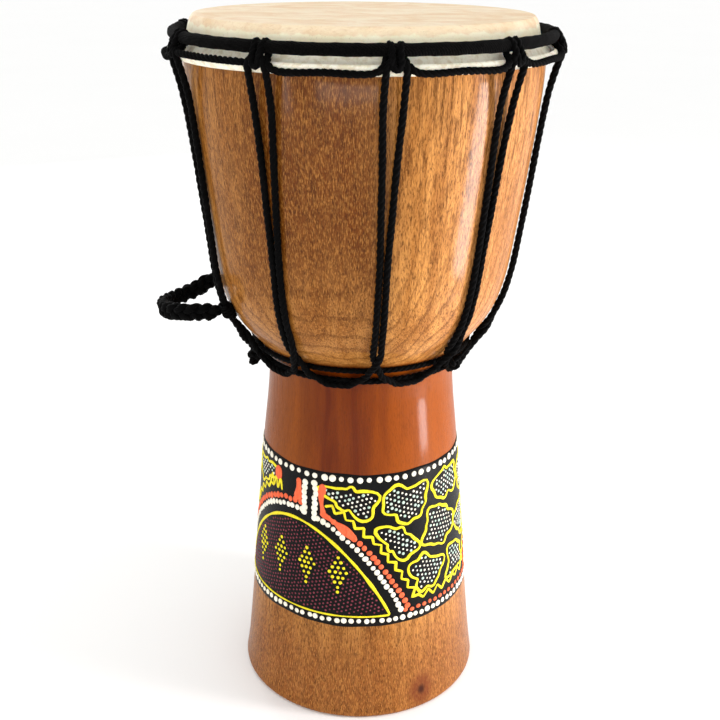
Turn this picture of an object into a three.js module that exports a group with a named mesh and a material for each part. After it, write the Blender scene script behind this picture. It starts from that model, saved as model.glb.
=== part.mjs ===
// A small rope-tuned djembe: a turned hardwood goblet with a goatskin head, held down by a cloth-bound
// crown ring, ten cord loops and one long tension cord laced to a rope ring round the neck, with a plaited
// rope handle at one side. Millimetres, +Z up, origin at the middle of the foot where it stands.
// An angle is counted round +Z from the front (-Y) towards +X.
import * as THREE from "three";

// ---- driving dimensions ----
const HEIGHT = 300;
const SEGMENTS = 40;
const PAIRS = 10;
const PAIR_STEP = 360 / PAIRS;
const TOP_ANGLE = 8.2; // the first pair of cords at the crown ring
const NECK_ANGLE = 6; // the same pair at the neck: the lacing leans a little
const FOOT_RADIUS = 55;
const FOOT_EDGE = 2; // rounding of the foot's lower edge

const SKIN = 0.7;
const CLEARANCE = 0.3; // between pieces that touch
const TURN_CLEARANCE = 0.4; // and where a cord turns tightly round a ring
const TENSION_CORD = 1.3; // radius
const LOOP_CORD = 1.1;
const NECK_ROPE = 1.5;
const TIE_CORD = 1.2;
const PLAIT = 2.8;
const RING_WIRE = 1.2;
const RING_BINDING = 2.1; // radius of the crown ring with its cloth
const HOOP_WIRE = 1.2;

// Centres of the rings' wires and ropes, as [radius, height].
const CROWN = [74.6, HEIGHT - 6.8];
const HOOP = [74.9, HEIGHT - 13.6];
const NECK_RING = [43.95, 160.4];
const TIE_RING = [46.5, 165.9];
const FOLD = HOOP_WIRE + 0.2 + SKIN; // outer radius of the skin round the hoop

// Where the plaited handle is lashed to two pairs of cords.
const HANDLE_PAIRS = [8, 7];
const LASHING_HEIGHTS = [184, 187];
const CORD_LIFT = 3.2; // how far the lashings hold those cords off the wood
const LIFTED_LENGTH = 30; // how far along the cords that lift fades out

// Half the spacing of a pair's two cords, which touch up to the meeting height and then spread.
const MEETING_HEIGHT = 215;
const TOUCHING = 1.45;
const SPREAD = 4.05;

// The shell's outer wall from the foot's edge to the rim, as [radius, height].
const OUTER_WALL = [
  [FOOT_RADIUS, FOOT_EDGE], [53.4, 14], [50.25, 46], [46.9, 82], [43.9, 117], [41.5, 139], [40.8, 151],
  [42.1, 160.5], [45.1, 166.2], [49.6, 171.5], [54.6, 178], [58.9, 186.5], [62.3, 199], [65.7, 222],
  [69, 247], [71.4, 268], [72.2, 280], [71.9, 286.6],
];
const RIM = [[69.7, 290], [68.4, 293.3], [67.8, 296.2], [66.7, 298.4], [65.2, HEIGHT - 1]];
// The inside, from the bearing edge down through the throat to the foot.
const INNER_WALL = [
  [64.4, 297.5], [63.3, 288], [61.6, 262], [57.3, 226], [51, 197], [41, 176], [32, 165], [28.3, 154],
  [28.8, 130], [34.5, 80], [41.5, 38], [49.5, 0],
];

// ---- materials ----
const finish = (color, roughness, metalness = 0) =>
  new THREE.MeshStandardMaterial({ color, roughness, metalness });
const WOOD = finish(0xb98552, 0.45);
const GOATSKIN = finish(0xe9dcc0, 0.65);
const IRON = finish(0x55524e, 0.5, 0.9);
const BLACK_CLOTH = finish(0x18181a, 0.9);
const BLACK_CORD = finish(0x141416, 0.8);

const radians = THREE.MathUtils.degToRad;

// A point from its angle, radius and height.
function at(angle, radius, height) {
  const a = radians(angle);
  return new THREE.Vector3(radius * Math.sin(a), -radius * Math.cos(a), height);
}

const flat = ([radius, height]) => new THREE.Vector2(radius, height);
const spline = (points, count) => new THREE.SplineCurve(points.map(flat)).getPoints(count);

// A point on a circle round a ring's wire; 0 faces out from the drum, 90 faces up.
function round([radius, height], distance, degrees) {
  const a = radians(degrees);
  return [radius + distance * Math.cos(a), height + distance * Math.sin(a)];
}

// Points on a circle round a wire, from one direction to another.
function arc(centre, distance, from, to, count) {
  const points = [];
  for (let i = 0; i <= count; i++) points.push(round(centre, distance, from + ((to - from) * i) / count));
  return points;
}

// Turns an outline of [radius, height] points, listed anticlockwise, about Z.
function turned(points) {
  return new THREE.LatheGeometry(points, SEGMENTS).rotateX(Math.PI / 2);
}

// A closed hoop of round section.
function hoop(centre, radius, sides = 6) {
  return turned(arc(centre, radius, 0, 360, sides).map(flat));
}

// A cord's route. Its steps are shared out point by point, so a tight bend gets as many as a long run.
class CordRoute extends THREE.CatmullRomCurve3 {
  getSpacedPoints(divisions) {
    return this.getPoints(divisions);
  }
  getPointAt(u, target) {
    return this.getPoint(u, target);
  }
  getTangentAt(u, target) {
    return this.getTangent(u, target);
  }
}

// A cord of round section along a list of points, with so many steps from each point to the next.
function cord(points, radius, stepsEach = 1, sides = 6) {
  const section = new THREE.Shape();
  for (let i = 0; i < sides; i++) {
    const a = (2 * Math.PI * i) / sides;
    section[i ? "lineTo" : "moveTo"](radius * Math.cos(a), radius * Math.sin(a));
  }
  const route = new CordRoute(points);
  const steps = (points.length - 1) * stepsEach;
  return new THREE.ExtrudeGeometry(section, { steps, extrudePath: route });
}

// ---- the shell ----
const wallPoints = spline(OUTER_WALL, 400);

// The outer wall's radius at a height.
function wallRadius(height) {
  const i = wallPoints.findIndex((p) => p.y >= height);
  if (i < 1) return wallPoints[i === 0 ? 0 : wallPoints.length - 1].x;
  const [a, b] = [wallPoints[i - 1], wallPoints[i]];
  return a.x + ((b.x - a.x) * (height - a.y)) / (b.y - a.y);
}

function shellGeometry() {
  const footEdge = arc([FOOT_RADIUS - FOOT_EDGE, FOOT_EDGE], FOOT_EDGE, -90, -30, 2).map(flat);
  const outer = spline(OUTER_WALL, 26);
  const inner = spline(INNER_WALL, 11);
  const outline = [...footEdge, ...outer, ...RIM.map(flat), ...inner];
  return turned([...outline, outline[0]]);
}

// ---- the head: skin, its hidden hoop, and the crown ring ----
// The skin runs from the middle over the bearing edge, down the bevelled rim, and up round the hoop.
function skinGeometry() {
  const surface = HEIGHT - SKIN / 2;
  const overTheRim = [
    [65.3, surface], [67.3, 298.8], [68.4, 296.5], [69.1, 293.5], [70.2, 290.7], [72.2, 287.8],
  ];
  const roundTheHoop = arc(HOOP, FOLD - SKIN / 2, 165, 430, 6);
  const middle = [[0, surface], ...overTheRim, ...roundTheHoop].map(flat);
  const upper = [];
  const lower = [];
  middle.forEach((p, i) => {
    const before = middle[Math.max(i - 1, 0)];
    const after = middle[Math.min(i + 1, middle.length - 1)];
    const along = after.clone().sub(before).normalize();
    const out = new THREE.Vector2(-along.y, along.x).multiplyScalar(SKIN / 2);
    if (i === 0) out.set(0, SKIN / 2);
    upper.push(p.clone().add(out));
    lower.push(p.clone().sub(out));
  });
  return turned([...lower, ...upper.reverse()]);
}

// The crown ring's cloth, bound round the wire with its edges butted on the hidden inner side.
function bindingGeometry() {
  const outside = arc(CROWN, RING_BINDING, -168, 168, 7);
  const inside = arc(CROWN, RING_WIRE + 0.35, 168, -168, 6);
  return turned([...outside, ...inside, outside[0]].map(flat));
}

// ---- the cords ----
const pairAngle = (pair, height) => {
  const rise = THREE.MathUtils.clamp((height - NECK_RING[1]) / (HOOP[1] - NECK_RING[1]), 0, 1);
  return pair * PAIR_STEP + NECK_ANGLE + (TOP_ANGLE - NECK_ANGLE) * rise;
};

// How far a pair's cords are pulled off the wood at a height: only where the handle is lashed to them.
function lift(pair, height) {
  const lashed = HANDLE_PAIRS.indexOf(pair % PAIRS);
  if (lashed < 0) return 0;
  const away = (height - LASHING_HEIGHTS[lashed]) / LIFTED_LENGTH;
  return CORD_LIFT * Math.exp(-away * away);
}

// The middle of a pair of cords on the bowl at a height, as a radius.
function legRadius(pair, height) {
  const slope = (wallRadius(height + 1) - wallRadius(height - 1)) / 2;
  const clear = (TENSION_CORD + CLEARANCE) * Math.hypot(1, slope);
  return wallRadius(height) + clear + lift(pair, height);
}

function halfSpacing(height) {
  const spread = THREE.MathUtils.clamp((height - MEETING_HEIGHT) / (HOOP[1] - MEETING_HEIGHT), 0, 1);
  return TOUCHING + (SPREAD - TOUCHING) * spread;
}

// One cord of a pair climbs from the neck rope to the crown ring in three stretches. Sideways is measured
// from the pair's middle towards the cord's own side. At the neck the two cords cross, the right one outside
// the left one, and each row is [sideways, radius, how much further out the right cord lies, height].
const CROSSING = [
  [-6.6, 47.05, 0, 161.6], [-3.4, 48.5, 0, 163.9], [-1.9, 50.1, 0.9, 167.4], [0.2, 52.1, 2.5, 171.8],
  [1.4, 55.2, 1.2, 175.8],
];
// Then it lies on the wood at these heights.
const LEG_HEIGHTS = [181, 188, 199, 215, 235, 254];
// At the top it leaves the wood and passes in front of the folded skin, as [sideways, radius, height].
const APPROACH = [[3.9, 74.2, 272], [SPREAD, 77.2, 282], [SPREAD, 78.6, 286.6], [3.2, 77.9, 288.7]];

// Side -1 is the left cord, 1 the right one.
function leg(pair, side) {
  const place = (sideways, radius, height) => {
    const turn = THREE.MathUtils.radToDeg((side * sideways) / radius);
    return at(pairAngle(pair, height) + turn, radius, height);
  };
  return [
    ...CROSSING.map(([sideways, radius, over, z]) => place(sideways, radius + (side > 0 ? over : 0), z)),
    ...LEG_HEIGHTS.map((height) => place(halfSpacing(height), legRadius(pair, height), height)),
    ...APPROACH.map(([sideways, radius, height]) => place(sideways, radius, height)),
  ];
}

// The arch from the right cord of a pair to the left one, behind the crown loop.
const ARCH_TURN = 1.1;
const ARCH = [77.5, 289.4];
const arch = (pair) => [ARCH_TURN, -ARCH_TURN].map((turn) => at(pairAngle(pair, HEIGHT) + turn, ...ARCH));

// The tension cord's run along the neck rope, from one pair to the next, as [turn, direction round the rope].
const NECK_RUN = [[-6, -28], [0, -36], [6, -28]];
function neckRun(pair) {
  const middle = pairAngle(pair, 0) + PAIR_STEP / 2;
  const away = NECK_ROPE + TENSION_CORD + TURN_CLEARANCE;
  return NECK_RUN.map(([turn, direction]) => at(middle + turn, ...round(NECK_RING, away, direction)));
}

// The whole tension cord: it starts and ends at the knot between the pairs that hold the handle.
function tensionRoute() {
  const first = HANDLE_PAIRS[0];
  const points = [];
  for (let pair = first; pair < first + PAIRS; pair++) {
    points.push(...leg(pair, 1), ...arch(pair), ...leg(pair, -1).reverse());
    if (pair < first + PAIRS - 1) points.push(...neckRun(pair));
  }
  return points;
}

// One crown loop: in under the ring, up inside it, over, down in front as a bight, and back the same way.
// Points are [turn from the pair's middle, radius, height].
const LOOP_RUN = [78.4, 286]; // radius and height of the straight run from one pair to the next
const LOOP_ENTRY = [[-7, ...LOOP_RUN], [-5.7, 77.3, 288.8], [-4.5, 75, 289.85]];
const LOOP_WRAP = { from: -126, to: -345, turn: -3.9, advance: 0.55, steps: 5 }; // round the crown ring
const LOOP_FRONT = [-1.15, 80.15, 289.6];
const BIGHT = [79.8, 287.3]; // the lowest point of the bight
function crownLoop(pair) {
  const middle = pairAngle(pair, HEIGHT);
  const away = RING_BINDING + LOOP_CORD + TURN_CLEARANCE;
  const around = arc(CROWN, away, LOOP_WRAP.from, LOOP_WRAP.to, LOOP_WRAP.steps);
  const wrap = around.map((point, i) => [LOOP_WRAP.turn + LOOP_WRAP.advance * i, ...point]);
  const half = [...LOOP_ENTRY, ...wrap, LOOP_FRONT];
  const there = half.map(([turn, radius, height]) => at(middle + turn, radius, height));
  const back = half.map(([turn, radius, height]) => at(middle - turn, radius, height)).reverse();
  return [...there, at(middle, ...BIGHT), ...back];
}

// The whole crown-loop cord, which starts and ends at a knot at the back, half way between pairs 4 and 5.
const CROWN_KNOT_ANGLE = TOP_ANGLE + PAIR_STEP * 4.5;
const KNOT_GAP = 2.6; // degrees from the knot's middle to the cord's ends
function crownLoopRoute() {
  const points = [at(CROWN_KNOT_ANGLE + KNOT_GAP, ...LOOP_RUN)];
  for (let pair = 5; pair < 5 + PAIRS; pair++) {
    if (pair > 5) points.push(at(pairAngle(pair, HEIGHT) - PAIR_STEP / 2, ...LOOP_RUN));
    points.push(...crownLoop(pair));
  }
  points.push(at(CROWN_KNOT_ANGLE - KNOT_GAP, ...LOOP_RUN));
  return points;
}

// An overhand knot pulled tight: a trefoil of cord, flattened towards the drum.
const KNOT_STEPS = 20;
const KNOT_OPEN = 0.35; // how much of the closed trefoil is left out at each end, in radians
const KNOT_SIZE = 1.054; // in cord radii
const KNOT_DEPTH = 1.75;
function knot(angle, radius, height, cordRadius) {
  const outward = at(angle, 1, 0);
  const sideways = at(angle + 90, 1, 0);
  const centre = at(angle, radius, height);
  const points = [];
  for (let i = 0; i <= KNOT_STEPS; i++) {
    const t = KNOT_OPEN + (2 * Math.PI - 2 * KNOT_OPEN) * (i / KNOT_STEPS);
    const across = (Math.sin(t) + 2 * Math.sin(2 * t)) * cordRadius * KNOT_SIZE;
    const up = (Math.cos(t) - 2 * Math.cos(2 * t)) * cordRadius * KNOT_SIZE;
    const depth = -Math.sin(3 * t) * cordRadius * KNOT_DEPTH;
    const point = centre.clone().addScaledVector(sideways, across).addScaledVector(outward, depth);
    point.z += up;
    points.push(point);
  }
  return cord(points, cordRadius);
}

// ---- the handle ----
// The plait leaves one lashing, bows out past the crown ring's edge and comes back to the other.
const HANDLE_ROUTE = [
  [-62.4, -27.8, 183.6], [-66.4, -29.1, 183.8], [-71.1, -29.3, 183.6], [-76.2, -26.9, 183],
  [-80.7, -21.7, 182.2], [-83.5, -14.8, 181.4], [-84.5, -6.7, 180.8], [-83.1, 0.7, 180.6],
  [-79.8, 6.3, 181], [-75.3, 9.9, 182], [-71.2, 12, 183.5], [-68.1, 13.1, 185.2],
];

// A lashing: turns of cord round both cords of a pair, drawn as one sleeve with a slot for them.
const LASHING = { height: 5.2, wall: 1.8, slot: TENSION_CORD + 0.35 };
const SLOPE_REACH = 3; // the sleeve leans as the cords do over this much height each way
function lashingMesh(name, index) {
  const pair = HANDLE_PAIRS[index];
  const height = LASHING_HEIGHTS[index];
  const stadium = (Path, end) => {
    const path = new Path();
    path.absarc(TOUCHING, 0, end, -Math.PI / 2, Math.PI / 2, false);
    path.absarc(-TOUCHING, 0, end, Math.PI / 2, (3 * Math.PI) / 2, false);
    path.closePath();
    return path;
  };
  const section = stadium(THREE.Shape, LASHING.slot + LASHING.wall);
  section.holes.push(stadium(THREE.Path, LASHING.slot));
  const options = { depth: LASHING.height, bevelEnabled: false, steps: 1, curveSegments: 6 };
  const geometry = new THREE.ExtrudeGeometry(section, options);
  geometry.translate(0, 0, -LASHING.height / 2);
  const mesh = new THREE.Mesh(geometry, BLACK_CORD);
  const middleOf = (z) => at(pairAngle(pair, z), legRadius(pair, z), z);
  const along = middleOf(height + SLOPE_REACH).sub(middleOf(height - SLOPE_REACH)).normalize();
  const sideways = at(pairAngle(pair, height) + 90, 1, 0);
  const outward = new THREE.Vector3().crossVectors(sideways, along);
  mesh.quaternion.setFromRotationMatrix(new THREE.Matrix4().makeBasis(sideways, outward.negate(), along));
  mesh.position.copy(middleOf(height));
  mesh.name = name;
  return mesh;
}

// ---- the drum ----
const drum = new THREE.Group();
function add(name, geometry, material) {
  const mesh = new THREE.Mesh(geometry, material);
  mesh.name = name;
  drum.add(mesh);
}

add("shell", shellGeometry(), WOOD);
add("drum_skin", skinGeometry(), GOATSKIN);
add("flesh_hoop", hoop(HOOP, HOOP_WIRE), IRON);
add("crown_ring", hoop(CROWN, RING_WIRE), IRON);
add("crown_ring_binding", bindingGeometry(), BLACK_CLOTH);
add("crown_loop_cord", cord(crownLoopRoute(), LOOP_CORD), BLACK_CORD);
add("crown_loop_knot", knot(CROWN_KNOT_ANGLE, 78.6, 281.5, LOOP_CORD), BLACK_CORD);
add("tension_cord", cord(tensionRoute(), TENSION_CORD), BLACK_CORD);
add("tension_cord_knot", knot(-84, 50.2, 159.5, TENSION_CORD), BLACK_CORD);
add("neck_ring_rope", hoop(NECK_RING, NECK_ROPE), BLACK_CORD);
add("neck_tie_cord", hoop(TIE_RING, TIE_CORD), BLACK_CORD);
add("neck_tie_knot", knot(54, 51.4, 164.6, TIE_CORD), BLACK_CORD);
add("handle_plait", cord(HANDLE_ROUTE.map((p) => new THREE.Vector3(...p)), PLAIT, 2, 8), BLACK_CORD);
drum.add(lashingMesh("handle_lashing_front", 0), lashingMesh("handle_lashing_rear", 1));

export default drum;
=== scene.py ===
"""The looks of a small rope-tuned djembe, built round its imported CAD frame.

Lengths are in millimetres and become Blender's metres where a mesh is made. An angle is in degrees, counted
round +Z from the front (-Y) towards +X. Outlines and cord routes follow the CAD source's, because this script
reads nothing but the frame."""
import math

import bpy
import numpy as np
from mathutils import Matrix, Vector


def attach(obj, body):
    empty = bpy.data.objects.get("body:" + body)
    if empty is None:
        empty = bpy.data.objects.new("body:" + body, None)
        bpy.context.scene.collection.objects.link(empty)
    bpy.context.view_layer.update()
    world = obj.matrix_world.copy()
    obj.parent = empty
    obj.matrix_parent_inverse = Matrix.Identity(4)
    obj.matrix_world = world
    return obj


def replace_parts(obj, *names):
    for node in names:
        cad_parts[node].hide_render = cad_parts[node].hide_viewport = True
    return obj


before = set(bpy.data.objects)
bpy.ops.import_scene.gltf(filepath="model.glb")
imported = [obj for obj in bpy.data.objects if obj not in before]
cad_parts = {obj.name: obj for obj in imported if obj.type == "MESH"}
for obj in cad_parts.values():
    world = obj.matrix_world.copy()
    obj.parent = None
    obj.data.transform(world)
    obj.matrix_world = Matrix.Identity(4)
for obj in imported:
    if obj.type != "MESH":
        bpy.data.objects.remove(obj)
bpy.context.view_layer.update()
scene = bpy.context.scene
MM = 0.001

# ---- sizes, as in the CAD source ----
HEIGHT = 300
PAIRS = 10
PAIR_STEP = 360 / PAIRS
TOP_ANGLE = 8.2
NECK_ANGLE = 6
SKIN = 0.7
CLEARANCE = 0.3
TENSION_CORD = 1.3
RING_BINDING = 2.1
HOOP_WIRE = 1.2
CROWN = (74.6, HEIGHT - 7)
HOOP = (74.9, HEIGHT - 13.6)
NECK_RING = (43.95, 160.4)
TIE_RING = (46.5, 165.9)
FOLD = HOOP_WIRE + 0.2 + SKIN
HANDLE_PAIRS = [8, 7]
LASHING_HEIGHTS = [184, 187]
CORD_LIFT = 1.1  # less than the CAD's, whose handle needs room to swing
LIFTED_LENGTH = 30
MEETING_HEIGHT = 215
TOUCHING = 1.45
SPREAD = 3.6
FOOT_RADIUS = 55
FOOT_EDGE = 2

OUTER_WALL = [
    (FOOT_RADIUS, FOOT_EDGE), (53.4, 14), (50.25, 46), (46.9, 82), (43.9, 117), (41.5, 139), (40.8, 151),
    (42.1, 160.5), (45.1, 166.2), (49.6, 171.5), (54.6, 178), (58.9, 186.5), (62.3, 199), (65.7, 222),
    (69, 247), (71.4, 268), (72.2, 280), (71.9, 286.6),
]
RIM = [(69.7, 290), (68.4, 293.3), (67.8, 296.2), (66.7, 298.4), (65.2, HEIGHT - 1)]
INNER_WALL = [
    (64.4, 297.5), (63.3, 288), (61.6, 262), (57.3, 226), (51, 197), (41, 176), (32, 165), (28.3, 154),
    (28.8, 130), (34.5, 80), (41.5, 38), (49.5, 0),
]

# ---- the camera, at the height and distance of a hand-held picture of the drum on a table ----
CAMERA_PLACE = (0, -0.443, 0.330)
CAMERA_DOWN = 21.88
CAMERA_ROLL = 0.45
LENS = 53.56
CAMERA_SHIFT = -0.0014

camera = bpy.data.objects.new("camera", bpy.data.cameras.new("camera"))
camera.data.lens = LENS
camera.data.shift_x = CAMERA_SHIFT
camera.matrix_world = (
    Matrix.Translation(CAMERA_PLACE)
    @ Matrix.Rotation(math.radians(90 - CAMERA_DOWN), 4, "X")
    @ Matrix.Rotation(math.radians(CAMERA_ROLL), 4, "Z")
)
scene.collection.objects.link(camera)
scene.camera = camera


# ---- points, curves and meshes ----
def at(angle, radius, height):
    """A point, or an array of points, from angle, radius and height."""
    a = np.radians(angle)
    columns = np.broadcast_arrays(radius * np.sin(a), -radius * np.cos(a), height)
    return np.stack(columns, axis=-1).astype(float)


def round_wire(ring, distance, degrees):
    """Radius and height of a point round a ring's wire; 0 faces out from the drum, 90 faces up."""
    a = np.radians(degrees)
    return ring[0] + distance * np.cos(a), ring[1] + distance * np.sin(a)


def even(points, step, closed=False):
    """The same line with points at even steps."""
    line = np.asarray(points, float)
    if closed:
        line = np.vstack([line, line[:1]])
    along = np.concatenate([[0], np.cumsum(np.linalg.norm(np.diff(line, axis=0), axis=1))])
    count = max(int(round(along[-1] / step)), 2)
    places = np.linspace(0, along[-1], count + 1)
    spaced = np.stack([np.interp(places, along, column) for column in line.T], axis=-1)
    return spaced[:-1] if closed else spaced


def outline_curve(points, per_point=10):
    """A uniform Catmull-Rom curve through a turned outline's points."""
    p = np.asarray(points, float)
    p = np.vstack([p[0], p, p[-1]])
    a, b, c, d = p[:-3], p[1:-2], p[2:-1], p[3:]
    t = np.linspace(0, 1, per_point, endpoint=False)[:, None, None]
    curve = 0.5 * (2 * b + (c - a) * t + (2 * a - 5 * b + 4 * c - d) * t**2 + (3 * b - a - 3 * c + d) * t**3)
    return np.vstack([curve.transpose(1, 0, 2).reshape(-1, 2), p[-1:]])


def cord_line(points, step=0.9):
    """A centripetal Catmull-Rom curve through a cord's points, at even steps."""
    p = np.asarray(points, float)
    p = np.vstack([2 * p[0] - p[1], p, 2 * p[-1] - p[-2]])
    root = np.sqrt(np.linalg.norm(np.diff(p, axis=0), axis=1))[:, None]
    before, here, after = root[:-2], root[1:-1], root[2:]
    a, b, c, d = p[:-3], p[1:-2], p[2:-1], p[3:]
    leave = here * ((b - a) / before - (c - a) / (before + here) + (c - b) / here)
    arrive = here * ((c - b) / here - (d - b) / (here + after) + (d - c) / after)
    t = np.linspace(0, 1, 16, endpoint=False)[:, None, None]
    curve = (
        b + leave * t
        + (3 * (c - b) - 2 * leave - arrive) * t**2
        + (2 * (b - c) + leave + arrive) * t**3
    )
    return even(np.vstack([curve.transpose(1, 0, 2).reshape(-1, 3), p[-2:-1]]), step)


def directions(line):
    """Unit vectors along a line at each of its points."""
    ahead = np.gradient(line, axis=0)
    return ahead / np.linalg.norm(ahead, axis=1)[:, None]


def leftwards(ahead):
    """Flat unit vectors turned a quarter to the left."""
    return np.stack([-ahead[:, 1], ahead[:, 0]], axis=-1)


def line_frames(line):
    """Unit vectors across a line at each of its points, turning as little as they can."""
    tangent = directions(line)
    start = np.cross(tangent[0], (0, 0, 1))
    if np.linalg.norm(start) < 0.1:
        start = np.cross(tangent[0], (1, 0, 0))
    side = np.empty_like(line)
    for i, t in enumerate(tangent):
        start = start - t * (start @ t)
        start /= np.linalg.norm(start)
        side[i] = start
    return tangent, side, np.cross(tangent, side)


class Shape:
    """Points and faces in millimetres, collected into one mesh."""

    def __init__(self):
        self.points = []
        self.faces = []
        self.count = 0

    def add(self, points, faces):
        self.points.append(np.asarray(points, float).reshape(-1, 3))
        self.faces.extend([tuple(i + self.count for i in face) for face in faces])
        self.count += len(self.points[-1])

    def add_rings(self, rings, closed=False):
        """A skin over rings of points, capped at its ends or closed into a hoop."""
        count, sides = rings.shape[:2]
        faces = []
        for i in range(count if closed else count - 1):
            here, after = i * sides, (i + 1) % count * sides
            for j in range(sides):
                k = (j + 1) % sides
                faces.append((here + j, here + k, after + k, after + j))
        if not closed:
            faces.append(tuple(range(sides))[::-1])
            faces.append(tuple(range((count - 1) * sides, count * sides)))
        self.add(rings, faces)

    def add_tube(self, line, sections):
        """A tube along a line, with a section of (side, normal) offsets at each point."""
        _, side, normal = line_frames(line)
        rings = line[:, None] + sections[..., :1] * side[:, None] + sections[..., 1:] * normal[:, None]
        self.add_rings(rings)

    def add_hoop(self, radius, height, sections):
        """A closed hoop round the drum, with a section of (outward, upward) offsets at each even step."""
        angle = np.linspace(0, 360, len(sections), endpoint=False)[:, None]
        self.add_rings(at(angle, radius + sections[..., 0], height + sections[..., 1]), closed=True)

    def piece(self, name, material, body="drum"):
        mesh = bpy.data.meshes.new(name)
        mesh.from_pydata((np.vstack(self.points) * MM).tolist(), [], self.faces)
        mesh.polygons.foreach_set("use_smooth", [True] * len(mesh.polygons))
        mesh.materials.append(material)
        piece = bpy.data.objects.new(name, mesh)
        scene.collection.objects.link(piece)
        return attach(piece, body)


def circle_section(count, radius, sides=10):
    """The same round section at each step. The radius may be one number or one for each step."""
    a = np.linspace(0, 2 * np.pi, sides, endpoint=False)
    unit = np.stack([np.cos(a), np.sin(a)], axis=-1)
    return np.broadcast_to(np.asarray(radius, float), (count,))[:, None, None] * unit


def rope_section(along, radius, pitch, sides=18, strands=3, unevenness=0.04):
    """Sections of laid rope: its strands are lobes that turn once in every pitch."""
    a = np.linspace(0, 2 * np.pi, sides, endpoint=False)
    lobe = 2 * np.pi / strands
    from_middle = (a + lobe / 2) % lobe - lobe / 2
    along = np.asarray(along, float)[:, None]
    swell = 1 + unevenness * (np.sin(along / 3.1) + np.sin(along / 1.7 + 1)) / 2
    reach = np.reshape(radius, (-1, 1)) * swell * np.sqrt(np.cos(from_middle))
    turned = a + 2 * np.pi * along / pitch
    return np.stack([reach * np.cos(turned), reach * np.sin(turned)], axis=-1)


def rope(shape, points, radius, pitch=None, step=0.9):
    """Adds a laid rope along a cord's points, and returns its line."""
    line = cord_line(points, step)
    along = np.arange(len(line)) * step
    shape.add_tube(line, rope_section(along, radius, pitch or 5.8 * radius))
    return line


def rope_hoop(shape, ring, radius, turns, steps_each=9):
    """Adds a laid rope closed into a hoop round the drum."""
    steps = turns * steps_each
    pitch = 2 * np.pi * ring[0] / turns
    along = np.arange(steps) * pitch / steps_each
    shape.add_hoop(ring[0], ring[1], rope_section(along, radius, pitch, unevenness=0))


# ---- material tools ----
class Shader:
    """A node material built in short steps. Textures are laid out in millimetres of the drum's own frame."""

    def __init__(self, name, **finish):
        self.material = bpy.data.materials.new(name)
        self.material.use_nodes = True
        self.tree = self.material.node_tree
        self.surface = self.tree.nodes["Principled BSDF"]
        for socket, value in finish.items():
            self.surface.inputs[socket.replace("_", " ")].default_value = value
        coordinates = self.tree.nodes.new("ShaderNodeTexCoord").outputs["Object"]
        self.place = self.stretched(coordinates, (1 / MM, 1 / MM, 1 / MM))

    def node(self, kind, settings=None, **inputs):
        node = self.tree.nodes.new("ShaderNode" + kind)
        for key, value in (settings or {}).items():
            setattr(node, key, value)
        for key, value in inputs.items():
            self.put(node.inputs[key], value)
        return node

    def put(self, socket, value):
        if isinstance(value, bpy.types.NodeSocket):
            self.tree.links.new(value, socket)
        else:
            socket.default_value = value

    def stretched(self, vector, scale, turn=(0, 0, 0), shift=(0, 0, 0)):
        node = self.node("Mapping", Vector=vector, Scale=scale, Rotation=turn, Location=shift)
        return node.outputs[0]

    def noise(self, scale, detail=3, rough=0.55, warp=0, where=None):
        """Noise from 0 to 1. Scale is in cells per millimetre, one number or one for each axis."""
        where = where or self.place
        if not isinstance(scale, (int, float)):
            where, scale = self.stretched(where, scale), 1
        return self.node(
            "TexNoise", None, Vector=where, Scale=scale, Detail=detail, Roughness=rough, Distortion=warp
        ).outputs["Fac"]

    def span(self, value, low, high, start=0.0, end=1.0):
        """Maps low..high smoothly onto start..end."""
        node = self.node("MapRange", {"interpolation_type": "SMOOTHSTEP"}, Value=value)
        for socket, number in zip(("From Min", "From Max", "To Min", "To Max"), (low, high, start, end)):
            node.inputs[socket].default_value = number
        return node.outputs[0]

    def math(self, operation, a, b=0.0):
        node = self.node("Math", {"operation": operation})
        self.put(node.inputs[0], a)
        self.put(node.inputs[1], b)
        return node.outputs[0]

    def mix(self, factor, a, b, blend="MIX"):
        node = self.node("Mix", {"data_type": "RGBA", "blend_type": blend})
        for index, value in ((0, factor), (6, a), (7, b)):
            self.put(node.inputs[index], (*value, 1) if isinstance(value, tuple) else value)
        return node.outputs[2]

    def axis(self, name):
        return self.node("SeparateXYZ", None, Vector=self.place).outputs[name]

    def finish(self, color=None, rough=None, bumps=()):
        """Links the colour and roughness, and lays bumps, as (height, depth in mm), on each other."""
        if color is not None:
            self.put(self.surface.inputs["Base Color"], color)
        if rough is not None:
            self.put(self.surface.inputs["Roughness"], rough)
        normal = None
        for height, depth in bumps:
            bump = self.node("Bump", None, Height=height, Distance=depth * MM)
            if normal is not None:
                self.put(bump.inputs["Normal"], normal)
            normal = bump.outputs[0]
        if normal is not None:
            self.put(self.surface.inputs["Normal"], normal)
        return self.material


def srgb(red, green, blue):
    """A linear colour from the usual 0-255 numbers."""
    levels = (red, green, blue)
    return tuple(((c / 255 + 0.055) / 1.055) ** 2.4 if c > 10 else c / 255 / 12.92 for c in levels)


# ---- materials ----
STAIN_TOP = 170  # heights where the neck's stain begins and ends
STAIN_FOOT = 82
YEAR = 4.1  # from one growth ring to the next
WOOD_KNOT = (29.0, -46.6, 7.6)


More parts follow.
